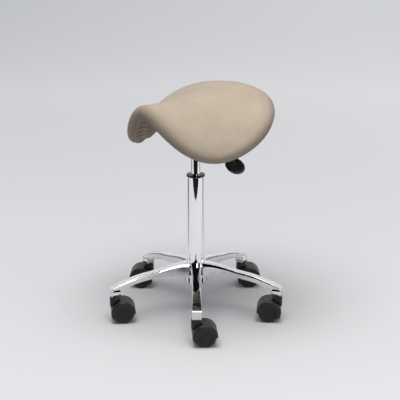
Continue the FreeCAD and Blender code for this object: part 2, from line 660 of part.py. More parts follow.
def skin(rings, first_pole, last_pole):
    """One B-spline surface through closed rings, drawn together at a pole at each end."""
    shared = [k / ring_points for k in range(ring_points + 1)]
    curves = []
    for points in rings:
        curve = Part.BSplineCurve()
        curve.interpolate(points, PeriodicFlag=True, Parameters=shared)
        curves.append(curve)
    width = len(curves[0].getPoles())
    rows = [[first_pole] * width] + [curve.getPoles() for curve in curves] + [[last_pole] * width]
    lengths = [0.0]
    for upper, lower in zip(rows, rows[1:]):
        step = sum((p - q).Length for p, q in zip(upper, lower)) / width
        lengths.append(lengths[-1] + step)
    knots = [length / lengths[-1] for length in lengths]
    columns = []
    for k in range(width):
        column_curve = Part.BSplineCurve()
        column_curve.interpolate([row[k] for row in rows], Parameters=knots)
        columns.append(column_curve)
    surface = Part.BSplineSurface()
    surface.buildFromPolesMultsKnots(
        [column_curve.getPoles() for column_curve in columns],
        curves[0].getMultiplicities(), columns[0].getMultiplicities(),
        curves[0].getKnots(), columns[0].getKnots(), True, False, 3, 3)
    solid = Part.Solid(Part.Shell([surface.toShape()]))
    if solid.Volume < 0:
        solid.reverse()
    return solid


def pad_body(radius):
    """The whole pad: the middle surface thickened by a radius, with a half-round edge."""
    scales = (0.15, 0.3, 0.45, 0.6, 0.75, 0.88, 0.96)
    edge_steps = 8
    rings = [saddle_ring(scale, radius) for scale in scales]
    for k in range(edge_steps + 1):
        turn = math.pi * k / edge_steps
        rings.append(saddle_ring(1.0, radius * math.cos(turn), radius * math.sin(turn) + 1e-9))
    rings += [saddle_ring(scale, -radius) for scale in reversed(scales)]
    centre = saddle_mid(0, 0)
    normal = saddle_normal(0, 0)
    return skin(rings, centre + normal * radius, centre - normal * radius)


def shell_room():
    """Room for the shell: a layer that hangs below the middle surface, short of the edge."""
    edge = float(s.shell_edge)
    top = -float(s.shell_top)
    bottom = -float(s.pad_half + s.overrun * 2)
    scales = [edge * share for share in (0.2, 0.4, 0.6, 0.8, 0.95, 1.0)]
    layers = 4
    rings = [saddle_ring(scale, top) for scale in scales]
    rings += [saddle_ring(edge, top + (bottom - top) * k / layers) for k in range(1, layers)]
    rings += [saddle_ring(scale, bottom) for scale in reversed(scales)]
    centre = saddle_mid(0, 0)
    normal = saddle_normal(0, 0)
    return skin(rings, centre + normal * top, centre + normal * bottom)


def shell_top_at(x, y):
    return saddle_rise(-y, x) - float(s.shell_top) * saddle_slope(-y, x)


def shell_bottom_at(x, y):
    return saddle_rise(-y, x) - float(s.pad_half - s.cover_thick) * saddle_slope(-y, x)


def feature(name, shape):
    item = document.addObject("Part::Feature", name)
    item.Shape = shape
    return item


def saddle():
    """Cover, foam and shell share the pad's space; the block fills up to the shell's underside."""
    outside = feature("pad_outside", pad_body(float(s.pad_half)))
    inside = feature("pad_inside", pad_body(float(s.pad_half - s.cover_thick)))
    layer = feature("shell_room", shell_room())
    fillers = plate_fasteners()
    opening_top = s.saddle_height - s.opening_drop
    opening = cylinder("cover_opening", s.opening_radius, opening_top - s.housing_floor,
                       (0, 0, s.housing_floor))
    keep("seat_cover", cut("seat_cover", outside, inside, opening))
    keep("seat_shell", cut("seat_shell", common("shell_blank", inside, layer), *fillers))
    keep("seat_foam", cut("seat_foam", inside, layer, *fillers))
    block_height = s.saddle_height - s.plate_top
    blank = cylinder("block_blank", s.block_radius, block_height, (0, 0, s.plate_top))
    rooms = [cylinder(f"block_hole_{k + 1}", s.bolt_radius + s.loose, block_height, (x, y, s.plate_top))
             for k, (x, y) in enumerate(bolt_places())]
    keep("mounting_block", cut("mounting_block", blank, inside, *rooms))


castor_headings = (51.0, 223.0, 50.0, 224.0, 53.0)  # where each castor trails, as it was left


def castor_placement(k, offset=Vector(0, 0, 0), tilt=None):
    """Castor frame: Z up its stem, X towards its axle."""
    turn = FreeCAD.Rotation(Vector(0, 0, 1), castor_headings[k])
    base = at_leg(k)
    frame = FreeCAD.Placement(base, turn)
    return frame.multiply(FreeCAD.Placement(offset, tilt or FreeCAD.Rotation()))


def hood(k):
    """Moulded hood: a fender over both wheels, a web between them, a housing for the stem."""
    name = f"castor_hood_{k + 1}"
    outer = s.hood_radius
    reach = outer * 2
    web_half = s.wheel_gap * 0.5 - s.wheel_play
    half = s.wheel_gap * 0.5 + s.wheel_width + s.wheel_play
    full = half + s.skirt_wall
    lying = ((1, 0, 0), 90)

    def across(suffix, radius, start, length):
        return cylinder(name + suffix, radius, length, (s.castor_trail, start, s.wheel_radius), *lying)

    def below(suffix, start, top):
        return box(name + suffix, reach, full * 3, top + outer, (start, full * -1.5, -outer))

    drum = across("_drum", outer, full, full * 2)
    web = across("_web", s.hood_room, web_half, web_half * 2)
    left = across("_left_room", s.hood_room, half, half - web_half)
    right = across("_right_room", s.hood_room, -web_half, half - web_half)
    eye = across("_eye", s.skirt_inner, full * 1.5, full * 3)
    axle_hole = across("_axle_hole", s.axle_radius, s.wheel_gap, s.wheel_gap * 2)
    under_wheels = below("_under_wheels", s.castor_trail - s.front_start, s.skirt_bottom)
    under_front = below("_under_front", s.castor_trail - reach, s.front_bottom)
    under_axle = below("_under_axle", s.castor_trail - outer, s.wheel_radius - s.web_drop)
    housing = cylinder(name + "_housing", s.housing_radius, s.hood_top - s.housing_foot,
                       (0, 0, s.housing_foot))
    stem_room = cylinder(name + "_stem_room", s.stem_radius + s.running, s.hood_top,
                         (0, 0, s.stem_foot - s.running))
    spine = cut(name + "_spine", web, under_axle)
    cap = cut(name + "_cap", drum, eye, under_wheels, under_front)
    blank = fuse(name + "_blank", cap, housing, spine)
    item = cut(name, blank, left, right, stem_room, axle_hole)
    item.Placement = castor_placement(k)
    keep(name, item)


def castor(k):
    hood(k)
    across = FreeCAD.Rotation(Vector(1, 0, 0), 90)
    trail = float(s.castor_trail)
    height = float(s.wheel_radius)
    axle = turned(f"castor_axle_{k + 1}", [
        (0, 0), (s.axle_radius, 0), (s.axle_radius, s.axle_half * 2), (0, s.axle_half * 2)])
    axle.Placement = castor_placement(k, Vector(trail, float(s.axle_half), height), across)
    keep(f"castor_axle_{k + 1}", axle)
    bore = s.axle_radius + s.running
    depth = s.axle_half - s.wheel_gap * 0.5 + s.loose
    rim = s.wheel_radius
    bevel = s.tread_bevel
    width = s.wheel_width
    face = width - s.face_drop
    corners = [
        (bore, 0), (rim - bevel * 4, 0), (rim - bevel, bevel), (rim, bevel * 3), (rim, width - bevel * 3),
        (rim - bevel, width - bevel), (rim - bevel * 3, width), (rim - bevel * 5, width),
        (rim - bevel * 5 - s.face_drop, face), (0, face), (0, depth), (bore, depth)]
    for side, name in ((1, "wheel_left"), (-1, "wheel_right")):
        wheel = turned(f"{name}_{k + 1}", corners)
        tilt = FreeCAD.Rotation(Vector(1, 0, 0), -90 * side)
        wheel.Placement = castor_placement(k, Vector(trail, side * float(s.wheel_gap) / 2, height), tilt)
        keep(f"{name}_{k + 1}", wheel)


def castor_stems():
    """Steel stems pushed into the leg ends, each held by a sprung ring in a groove."""
    stems = []
    rings = []
    for k in range(int(float(s.leg_count))):
        ring_top = s.ring_height + s.ring_thick
        stem = turned(f"stem_{k + 1}", [
            (0, s.stem_foot), (s.stem_radius, s.stem_foot), (s.stem_radius, s.ring_height),
            (s.neck_radius, s.ring_height), (s.neck_radius, ring_top), (s.stem_radius, ring_top),
            (s.stem_radius, s.stem_top - s.rod_bevel), (s.stem_radius - s.rod_bevel, s.stem_top),
            (0, s.stem_top)])
        stem.Placement = castor_placement(k)
        stems.append(stem)
        grip = turned(f"grip_{k + 1}", [
            (s.neck_radius, s.ring_height), (s.ring_radius, s.ring_height),
            (s.ring_radius, ring_top), (s.neck_radius, ring_top)])
        grip.Placement = castor_placement(k)
        rings.append(grip)
    group("castor_stems", stems)
    group("castor_grip_rings", rings)


def build():
    star_base()
    column()
    thrust_bearing()
    rod_and_piston()
    gas_spring()
    taper_socket()
    mechanism_housing()
    seat_plate()
    lever()
    saddle()
    castor_stems()
    for k in range(int(float(s.leg_count))):
        castor(k)
    document.recompute()


def check():
    for item in document.Objects:
        if "Invalid" in item.State or "Error" in item.State:
            raise RuntimeError(f"{item.Name} failed: {item.State}")
    for name, item in parts.items():
        shape = item.Shape
        if shape.isNull() or not shape.isValid() or not shape.Solids:
            raise RuntimeError(f"{name} has no sound solid")


def export():
    os.makedirs("parts", exist_ok=True)
    for name, item in parts.items():
        item.Shape.exportStep(f"parts/{name}.step")
    print(len(parts), "sub-parts written")


build()
check()
export()
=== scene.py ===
import json
import math
import bmesh
import bpy
import numpy as np
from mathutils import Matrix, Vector


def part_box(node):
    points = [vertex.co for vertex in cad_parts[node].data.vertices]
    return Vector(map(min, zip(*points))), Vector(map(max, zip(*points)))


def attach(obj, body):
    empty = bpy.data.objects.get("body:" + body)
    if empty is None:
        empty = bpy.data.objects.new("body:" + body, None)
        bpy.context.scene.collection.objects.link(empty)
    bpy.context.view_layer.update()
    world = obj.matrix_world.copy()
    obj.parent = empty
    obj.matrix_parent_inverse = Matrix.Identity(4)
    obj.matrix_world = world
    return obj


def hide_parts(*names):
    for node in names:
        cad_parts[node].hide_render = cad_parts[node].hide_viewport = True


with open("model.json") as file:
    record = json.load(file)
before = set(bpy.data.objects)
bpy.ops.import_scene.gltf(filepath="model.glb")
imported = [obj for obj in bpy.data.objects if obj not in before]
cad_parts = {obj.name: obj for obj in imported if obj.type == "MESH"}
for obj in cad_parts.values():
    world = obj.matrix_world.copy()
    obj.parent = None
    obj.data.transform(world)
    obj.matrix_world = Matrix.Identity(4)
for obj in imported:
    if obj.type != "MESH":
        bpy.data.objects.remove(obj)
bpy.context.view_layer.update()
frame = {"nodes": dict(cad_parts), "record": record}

nodes = frame["nodes"]
print("frame loaded:", len(nodes), "nodes")


# meshes from numpy grids

def addMesh(name, points, faces, material, smooth=True):
    mesh = bpy.data.meshes.new(name)
    mesh.from_pydata(points.reshape(-1, 3).tolist(), [], faces)
    mesh.polygons.foreach_set("use_smooth", [smooth] * len(mesh.polygons))
    mesh.materials.append(material)
    mesh.update()
    piece = bpy.data.objects.new(name, mesh)
    bpy.context.scene.collection.objects.link(piece)
    return piece


def gridFaces(rows, columns, closed=True, first=0):
    # quads between neighbouring rows; the columns join up when the grid is closed
    row = np.arange(rows - 1)[:, None]
    column = np.arange(columns if closed else columns - 1)[None, :]
    ahead = (column + 1) % columns
    quads = np.stack(np.broadcast_arrays(
        row * columns + column, row * columns + ahead,
        (row + 1) * columns + ahead, (row + 1) * columns + column), -1)
    return (quads.reshape(-1, 4) + first).tolist()


def loopFaces(rows, columns):
    # quads of a grid that joins up both ways
    return (np.array(gridFaces(rows + 1, columns)) % (rows * columns)).tolist()


def closedTube(points, first=0):
    # a grid of rings with a fan over each end; returns its vertices and faces
    rows, columns = points.shape[:2]
    verts = np.vstack([points.reshape(-1, 3), points[0].mean(0), points[-1].mean(0)])
    faces = gridFaces(rows, columns, True, first)
    ring = np.arange(columns)
    ahead = (ring + 1) % columns
    low = rows * columns + first
    last = (rows - 1) * columns + first
    startFan = np.stack([ahead + first, ring + first, np.full(columns, low)], 1)
    endFan = np.stack([ring + last, ahead + last, np.full(columns, low + 1)], 1)
    return verts, faces + np.vstack([startFan, endFan]).tolist()


def roundCorners(corners, radius, steps=5, closed=False):
    # each corner of the line becomes an arc that touches both of its sides, with one more point
    # close by on each side, so that the long straight sides shade as flat
    line = np.array(corners, float)
    count = len(line)
    radii = np.broadcast_to(radius, count)
    out = []
    for k in range(count):
        if not closed and k in (0, count - 1):
            out.append(line[k])
            continue
        before = line[k - 1] - line[k]
        after = line[(k + 1) % count] - line[k]
        lengthBefore = np.linalg.norm(before)
        lengthAfter = np.linalg.norm(after)
        before = before / lengthBefore
        after = after / lengthAfter
        half = math.acos(float(np.clip(before @ after, -1, 1))) / 2
        if radii[k] <= 0 or half > 1.56:
            out.append(line[k])
            continue
        reach = min(radii[k] / math.tan(half), lengthBefore * 0.48, lengthAfter * 0.48)
        bow = reach * math.tan(half)
        middle = (before + after) / np.linalg.norm(before + after)
        centre = line[k] + middle * (bow / math.sin(half))
        startSpoke = line[k] + before * reach - centre
        endSpoke = line[k] + after * reach - centre
        sweep = math.pi - 2 * half
        turn = np.linspace(0, 1, steps + 1)[:, None] * sweep
        if reach < lengthBefore * 0.4:
            out.append(line[k] + before * (reach + min(reach * 0.5, lengthBefore * 0.08)))
        out.extend((startSpoke * np.sin(sweep - turn) + endSpoke * np.sin(turn)) / math.sin(sweep) + centre)
        if reach < lengthAfter * 0.4:
            out.append(line[k] + after * (reach + min(reach * 0.5, lengthAfter * 0.08)))
    return np.array(out)


def frameAt(origin, direction, sideways):
    # columns of a turn whose third axis is direction, and whose first is nearest sideways
    third = np.array(direction, float) / np.linalg.norm(direction)
    first = np.array(sideways, float) - third * (np.array(sideways, float) @ third)
    first /= np.linalg.norm(first)
    return np.array(origin, float), np.stack([first, np.cross(third, first), third], 1)


upright = frameAt((0, 0, 0), (0, 0, 1), (1, 0, 0))


def turnedPoints(outline, place, steps):
    # outline of (radius, height) carried round the third axis of the place
    angle = np.linspace(0, 2 * math.pi, steps, endpoint=False)
    radius = outline[:, :1]
    local = np.stack([radius * np.cos(angle), radius * np.sin(angle),
                      np.broadcast_to(outline[:, 1:], (len(outline), steps))], -1)
    origin, turn = place
    return local @ turn.T + origin


def outward(piece):
    # all faces of a closed piece turned to face outwards
    form = bmesh.new()
    form.from_mesh(piece.data)
    bmesh.ops.remove_doubles(form, verts=form.verts, dist=1e-6)
    bmesh.ops.recalc_face_normals(form, faces=form.faces)
    form.to_mesh(piece.data)
    form.free()
    return piece


def setField(piece, name, values):
    # one number on every point, for the material to read
    field = piece.data.attributes.new(name, "FLOAT", "POINT")
    field.data.foreach_set("value", np.asarray(values, np.float32))


def finishModifiers(piece):
    # turns the modifiers into mesh, as seen in a render
    bpy.context.view_layer.update()
    graph = bpy.context.evaluated_depsgraph_get()
    made = bpy.data.meshes.new_from_object(piece.evaluated_get(graph))
    piece.modifiers.clear()
    piece.data = made


def stand(piece, body, slot, *replaced):
    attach(piece, body)
    if replaced:
        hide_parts(*replaced)
    return piece


# shaders

class Wire:
    # one output of a shader node; arithmetic on it adds Math nodes
    def __init__(self, shader, socket):
        self.shader = shader
        self.socket = socket

    def combine(self, operation, first, second):
        return self.shader.add("ShaderNodeMath", {"operation": operation}, {0: first, 1: second})

    def __add__(self, other):
        return self.combine("ADD", self, other)

    def __radd__(self, other):
        return self.combine("ADD", other, self)

    def __sub__(self, other):
        return self.combine("SUBTRACT", self, other)

    def __rsub__(self, other):
        return self.combine("SUBTRACT", other, self)

    def __mul__(self, other):
        return self.combine("MULTIPLY", self, other)

    def __truediv__(self, other):
        return self.combine("DIVIDE", self, other)

    def __pow__(self, other):
        return self.combine("POWER", self, other)

    def clamp(self):
        return self.combine("MINIMUM", self.combine("MAXIMUM", self, 0.0), 1.0)


class Shader:
    # a material with its Principled node, filled in piece by piece
    def __init__(self, name):
        self.material = bpy.data.materials.new(name)
        self.material.use_nodes = True
        self.tree = self.material.node_tree
        self.main = self.tree.nodes["Principled BSDF"]

    def feed(self, node, key, value):
        socket = node.inputs[key]
        if isinstance(value, Wire):
            self.tree.links.new(value.socket, socket)
        else:
            socket.default_value = value

    def add(self, kind, settings=None, inputs=None, output=0):
        # any node: its settings first, then the values or links of its sockets
        node = self.tree.nodes.new(kind)
        for key, value in (settings or {}).items():
            if key == "stops":
                ramp = node.color_ramp.elements
                while len(ramp) < len(value):
                    ramp.new(0.5)
                for element, (place, tone) in zip(ramp, value):
                    element.position = place
                    element.color = (tone, tone, tone, 1) if isinstance(tone, float) else (*tone, 1)
            else:
                setattr(node, key, value)
        for key, value in (inputs or {}).items():
            self.feed(node, key, value)
        return Wire(self, node.outputs[output])

    def set(self, **inputs):
        for key, value in inputs.items():
            self.feed(self.main, key.replace("_", " "), value)
        return self

    def objectPlace(self):
        return self.add("ShaderNodeTexCoord", output="Object")

    def split(self, vector):
        # the three coordinates of a place as separate wires
        return [self.add("ShaderNodeSeparateXYZ", None, {"Vector": vector}, k) for k in range(3)]

    def noise(self, scale, detail, rough):
        return self.add("ShaderNodeTexNoise", None, {
            "Vector": self.objectPlace(), "Scale": scale, "Detail": detail, "Roughness": rough})

    def field(self, name):
        return self.add("ShaderNodeAttribute", {"attribute_name": name}, None, 2)

    def mixed(self, mask, first, second):
        first, second = (side if isinstance(side, Wire) else (*side, 1) for side in (first, second))
        return self.add("ShaderNodeMix", {"data_type": "RGBA"}, {0: mask, 6: first, 7: second}, 2)

    def bump(self, height, distance, strength, under=None):
        inputs = {"Height": height, "Distance": distance, "Strength": strength}
        if under:
            inputs["Normal"] = under
        return self.add("ShaderNodeBump", None, inputs)

    def steps(self, value, *stops):
        return self.add("ShaderNodeValToRGB", {"stops": stops}, {"Fac": value})


suedeLook = {
    # the under tone is painted shade for the hollow under the seat and the folds, not a colour of the fabric
    "light": (0.465, 0.385, 0.305), "dark": (0.39, 0.317, 0.242), "under": (0.085, 0.072, 0.050),
    "napSize": 14.0, "grainSize": 900.0, "fleckShare": 0.35, "sheen": 0.12,
}


def suede():
    # brushed microfibre: soft patches where the nap lies over, fine grain, light sheen, and painted shade
    # that turns it to the dark under tone where the open field is low
    shader = Shader("suede")
    patches = shader.noise(suedeLook["napSize"], 4.0, 0.6)
    grain = shader.noise(suedeLook["grainSize"], 2.0, 0.7)
    fleck = shader.noise(suedeLook["grainSize"] * suedeLook["fleckShare"], 3.0, 0.6)
    mask = shader.steps(patches * 0.55 + grain * 0.25 + fleck * 0.2, (0.32, 0.0), (0.68, 1.0))
    # painted shade: a low open field turns the suede colour to the dark under tone
    colour = shader.mixed(shader.field("open"), suedeLook["under"],
                          shader.mixed(mask, suedeLook["dark"], suedeLook["light"]))
    soft = shader.bump(patches, 0.0012, 0.5)
    fuzz = shader.bump(grain + fleck, 0.00035, 0.6, soft)
    shader.set(Base_Color=colour, Roughness=0.9 - patches * 0.12, Normal=fuzz)
    shader.set(Sheen_Weight=suedeLook["sheen"], Sheen_Roughness=0.45, Specular_IOR_Level=0.15)
    return shader.material


def polishedCast():
    # hand-polished casting: long faint waves and hazy spots
    shader = Shader("polishedCast")
    waves = shader.noise(9.0, 2.0, 0.5)
    haze = shader.noise(70.0, 4.0, 0.6)
    spots = shader.steps(haze, (0.35, 0.0), (0.7, 1.0))
    colour = shader.mixed(spots, (0.76, 0.765, 0.78), (0.88, 0.88, 0.89))
    shader.set(Base_Color=colour, Metallic=1.0, Roughness=0.025 + haze * 0.05,
               Normal=shader.bump(waves, 0.0006, 0.2))
    return shader.material


def chromePlate():
    shader = Shader("chromePlate")
    wipe = shader.noise(35.0, 3.0, 0.6)
    colour = shader.mixed(wipe, (0.86, 0.87, 0.89), (0.93, 0.93, 0.94))
    shader.set(Base_Color=colour, Metallic=1.0, Roughness=0.02 + wipe * 0.05)
    return shader.material


def mouldedBlack(name, tone, rough, grain=500.0, depth=0.00012):
    # moulded black plastic: spark-eroded grain, dust-dulled patches
    shader = Shader(name)
    fine = shader.noise(grain, 2.0, 0.6)
    dull = shader.noise(28.0, 3.0, 0.55)
    colour = shader.mixed(dull, (tone, tone, tone * 1.08), (tone * 1.7, tone * 1.7, tone * 1.85))
    shader.set(Base_Color=colour, Roughness=rough + dull * 0.14, Normal=shader.bump(fine, depth, 0.6))
    return shader.material


def plainMetal(name, colour, rough, grain=300.0):
    shader = Shader(name)
    fine = shader.noise(grain, 3.0, 0.6)
    darker = tuple(c * 0.82 for c in colour)
    shader.set(Base_Color=shader.mixed(fine, darker, colour), Metallic=1.0,
               Roughness=rough + fine * 0.12, Normal=shader.bump(fine, 0.00005, 0.5))
    return shader.material


def powderCoat():
    # orange-peel skin of a black powder coat
    shader = Shader("powderCoat")
    peel = shader.noise(420.0, 2.0, 0.5)
    shader.set(Base_Color=shader.mixed(peel, (0.018, 0.018, 0.02), (0.03, 0.03, 0.032)),
               Roughness=0.38 + peel * 0.1, Normal=shader.bump(peel, 0.00025, 0.7))
    return shader.material


def birchPly():
    # thin veneers stacked in height, with a fine grain across them
    shader = Shader("birchPly")
    place = shader.objectPlace()
    layers = shader.add("ShaderNodeTexWave", {"wave_type": "BANDS", "bands_direction": "Z"},
                        {"Vector": place, "Scale": 110.0, "Distortion": 0.6, "Detail": 2.0})
    streak = shader.noise(180.0, 4.0, 0.6)
    veneers = shader.steps(layers, (0.4, 0.0), (0.6, 1.0))
    colour = shader.mixed(veneers, (0.42, 0.28, 0.15), (0.70, 0.52, 0.32))
    shader.set(Base_Color=colour, Roughness=0.55 + streak * 0.2, Normal=shader.bump(streak, 0.0002, 0.5))
    return shader.material


def mouldedFoam():
    shader = Shader("mouldedFoam")
    cells = shader.add("ShaderNodeTexVoronoi", None, {"Vector": shader.objectPlace(), "Scale": 700.0})
    shader.set(Base_Color=shader.mixed(cells, (0.62, 0.58, 0.42), (0.8, 0.77, 0.6)), Roughness=0.95,
               Normal=shader.bump(cells, 0.0004, 0.8))
    return shader.material


def paperLabel():
    shader = Shader("paperLabel")
    fibre = shader.noise(600.0, 3.0, 0.6)
    shader.set(Base_Color=shader.mixed(fibre, (0.74, 0.74, 0.72), (0.84, 0.84, 0.82)), Roughness=0.6,
               Normal=shader.bump(fibre, 0.00005, 0.4))
    return shader.material


looks = {
    "cover": suede(), "polished_aluminium": polishedCast(), "chrome": chromePlate(),
    "black_plastic": mouldedBlack("glossBlack", 0.004, 0.14, 300.0, 0.00004),
    "castor_hood": mouldedBlack("hoodNylon", 0.0035, 0.36),
    "castor_wheel": mouldedBlack("wheelNylon", 0.0035, 0.46, 420.0, 0.00018),
    "rubber": mouldedBlack("rubberBlack", 0.02, 0.7, 260.0, 0.0002),
    "steel": plainMetal("zincSteel", (0.62, 0.62, 0.6), 0.3), "black_steel": powderCoat(),
    "plywood": birchPly(), "foam": mouldedFoam(),
    "shell_plastic": mouldedBlack("shellBlack", 0.03, 0.5, 200.0, 0.0003),
}
slotOf = {entry["node"]: entry["material_slot"] for entry in frame["record"]["subparts"]}
for name, node in nodes.items():
    node.data.materials.clear()
    node.data.materials.append(looks[slotOf[name]])
print("materials made:", len(looks))


# saddle

saddle = {
    "front": 0.1793, "rear": 0.1653, "shift": 0.0069, "half": 0.184, "egg": 0.214,
    "crestDrop": 0.0334,      # from the highest point of the cover to the middle of the pad at the origin
    "radius": 0.0230, "crest": 0.018, "reach": 0.180, "unitLength": 0.2, "power": 1.61,
    "ridge": (-0.0138, 0.0163, 0.0142, -0.0116), "fall": (0.0845, 0.1195, 0.0752, 0.0296),
    "cells": 88, "edgeRows": 16, "wrap": 0.70, "puff": 0.0022, "fill": 0.9,
    # the last rows: how far each rolls on past the edge, and its share of the dive behind the gathers
    "tuck": 0.0042, "tuckTurns": (0.045, 0.075, 0.085, 0.080), "tuckShares": (0.08, 0.3, 0.65, 1.0),
    # painted shade: how much of the lit suede colour the cover keeps, from the top over the rim to the tucked
    # rows, where lower is painted darker
    "edgeShade": 0.12, "edgeStart": 0.88, "rimLow": 0.30, "rimSpan": 0.58, "rimWrap": 0.66, "tuckedOpen": 0.12,
}
saddle["height"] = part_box("seat_cover")[1].z - saddle["crestDrop"]


def saddleRise(along, across):
    # ridge height as a polynomial of the distance forward, less a fall that grows as a power of the
    # distance aside
    a = along / saddle["unitLength"]
    r1, r2, r3, r4 = saddle["ridge"]
    f0, f1, f2, f3 = saddle["fall"]
    ridge = saddle["height"] + r1 * a + r2 * a ** 2 + r3 * a ** 3 + r4 * a ** 4
    fall = f0 + f1 * a + f2 * a ** 2 + f3 * a ** 3
    crest, reach, power = saddle["crest"], saddle["reach"], saddle["power"]
    aside = ((across ** 2 + crest ** 2) / reach ** 2) ** (power / 2) - (crest / reach) ** power
    return ridge - fall * aside


def saddleMid(t, share):
    # t from -1 at the pommel to 1 at the rear, share from -1 to 1 across an egg-shaped plan
    along = np.where(t < 0, -t * saddle["front"], -t * saddle["rear"]) - saddle["shift"]
    across = share * saddle["half"] * (1 + saddle["egg"] * t)
    return np.stack([across, -along, saddleRise(along, across)], -1)


def unit(vectors):
    return vectors / np.linalg.norm(vectors, axis=-1, keepdims=True)


def saddleNormal(t, share):
    step = 1e-3
    along = saddleMid(t + step, share) - saddleMid(t - step, share)
    across = saddleMid(t, share + step) - saddleMid(t, share - step)
    normal = unit(np.cross(across, along))
    return normal * np.where(normal[..., 2:] < 0, -1, 1)


def saddleOut(angle):
    # square to the edge, in the middle surface, pointing away from the pad
    step = 1e-3
    ahead = saddleMid(-np.cos(angle + step), np.sin(angle + step))
    behind = saddleMid(-np.cos(angle - step), np.sin(angle - step))
    out = unit(np.cross(ahead - behind, saddleNormal(-np.cos(angle), np.sin(angle))))
    inner = saddleMid(-np.cos(angle) * 0.98, np.sin(angle) * 0.98)
    edge = saddleMid(-np.cos(angle), np.sin(angle))
    return out * np.where(((edge - inner) * out).sum(-1, keepdims=True) < 0, -1, 1)


def padPoint(scale, angle, lift, push=0.0):
    t = -np.cos(angle) * scale
    share = np.sin(angle) * scale
    return saddleMid(t, share) + saddleNormal(t, share) * lift + saddleOut(angle) * push


def seatCover():
    # a square grid bent into a disc is the top; rings go on round the edge and under it
    n = saddle["cells"]
    radius = saddle["radius"] - saddle["puff"]
    across, ahead = np.meshgrid(np.linspace(-1, 1, n + 1), np.linspace(-1, 1, n + 1), indexing="ij")
    x = across * np.sqrt(1 - ahead ** 2 / 2)
    y = ahead * np.sqrt(1 - across ** 2 / 2)
    top = saddleMid(y, x) + saddleNormal(y, x) * radius
    index = np.arange((n + 1) ** 2).reshape(n + 1, n + 1)
    border = np.concatenate([index[0, :-1], index[:-1, -1], index[-1, :0:-1], index[:0:-1, 0]])
    angle = np.arctan2(x.reshape(-1)[border], -y.reshape(-1)[border])
    turn = np.linspace(0, math.pi * saddle["wrap"], saddle["edgeRows"] + 1)[1:, None]
    edge = padPoint(1.0, angle[None, :], radius * np.cos(turn)[..., None], radius * np.sin(turn)[..., None])
    fold = turn[-1, 0] + np.array(saddle["tuckTurns"])[:, None]
    deep = radius - saddle["tuck"] * np.array(saddle["tuckShares"])[:, None]
    below = padPoint(1.0, angle[None, :], (deep * np.cos(fold))[..., None], (deep * np.sin(fold))[..., None])
    points = np.vstack([top.reshape(-1, 3), edge.reshape(-1, 3), below.reshape(-1, 3)])
    quads = np.stack([index[:-1, :-1], index[1:, :-1], index[1:, 1:], index[:-1, 1:]], -1).reshape(-1, 4)
    count = len(border)
    tucked = len(saddle["tuckTurns"])
    rings = np.arange((saddle["edgeRows"] + tucked) * count).reshape(-1, count)
    rows = np.vstack([border[None, :], (n + 1) ** 2 + rings])
    nextColumn = np.roll(rows, -1, 1)
    sides = np.stack([rows[:-1], rows[1:], nextColumn[1:], nextColumn[:-1]], -1).reshape(-1, 4)
    piece = addMesh("seatCover", points, quads.tolist() + sides.tolist(), looks["cover"])
    share = np.hypot(x, y).reshape(-1)
    # painted shade: the top darkens a little towards the edge, the rim darkens as it turns under, and the
    # tucked rows are painted nearly as dark as the under tone
    onTop = 1 - saddle["edgeShade"] * np.clip((share - saddle["edgeStart"]) / (1 - saddle["edgeStart"]), 0, 1)
    over = np.clip(1 - turn[:, 0] / (saddle["rimWrap"] * math.pi), 0, 1)
    onRim = np.repeat(saddle["rimLow"] + saddle["rimSpan"] * over, count)
    setField(piece, "open", np.concatenate([onTop, onRim, np.full(tucked * count, saddle["tuckedOpen"])]))
    outward(piece)
    puffed(piece, rows[-1])
    piece.modifiers.new("fine", "SUBSURF").levels = 1
    piece.modifiers["fine"].render_levels = 1
    finishModifiers(piece)
    stand(piece, "seat", "cover", "seat_cover", "seat_foam")


coverCloth = {
    "frames": 14, "pressure": 3.0, "cap": 0.0045, "quality": 6, "mass": 0.4, "stretch": 25, "bend": 2.5,
}


def puffed(piece, held):
    # the cover is blown out against its own seams for a few frames, and no point moves far
    group = piece.vertex_groups.new(name="held")
    group.add([int(k) for k in held], 1.0, "REPLACE")
    start = np.empty(len(piece.data.vertices) * 3)
    piece.data.vertices.foreach_get("co", start)
    cloth = piece.modifiers.new("cloth", "CLOTH")
    cloth.settings.quality = coverCloth["quality"]
    cloth.settings.mass = coverCloth["mass"]
    cloth.settings.tension_stiffness = coverCloth["stretch"]
    cloth.settings.compression_stiffness = coverCloth["stretch"]
    cloth.settings.bending_stiffness = coverCloth["bend"]
    cloth.settings.use_pressure = True
    cloth.settings.uniform_pressure_force = coverCloth["pressure"]
    cloth.settings.vertex_group_mass = "held"
    cloth.settings.effector_weights.gravity = 0
    cloth.collision_settings.use_collision = False
    scene = bpy.context.scene
    for step in range(1, coverCloth["frames"] + 1):
        scene.frame_set(step)
    graph = bpy.context.evaluated_depsgraph_get()
    made = piece.evaluated_get(graph).to_mesh()
    end = np.empty(len(start))
    made.vertices.foreach_get("co", end)
    moved = (end - start).reshape(-1, 3)
    length = np.linalg.norm(moved, axis=1, keepdims=True)
    moved *= np.minimum(1, coverCloth["cap"] / np.maximum(length, 1e-9))
    piece.modifiers.clear()
    piece.vertex_groups.clear()
    piece.data.vertices.foreach_set("co", (start + moved.reshape(-1)).astype(np.float32))
    piece.data.update()
    scene.frame_set(1)
    print("cover puffed, furthest move %.1f mm" % (1000 * float(length.max())))


gathers = {
    "inner": 0.40, "folds": 96, "around": 1440, "rows": 84, "share": 0.19, "depth": 0.0088, "sunk": 0.0096,
    "start": 0.03, "grown": 0.16, "lean": 2.6, "proud": 0.0004, "tucked": 0.0030, "ridgePower": 0.55,
    "pairPower": 0.7, "levelFrom": 0.985, "levelOver": 0.085,
}


def eased(share):
    # from 0 to 1 with a gentle start and stop
    share = np.clip(share, 0, 1)
    return share * share * (3 - 2 * share)


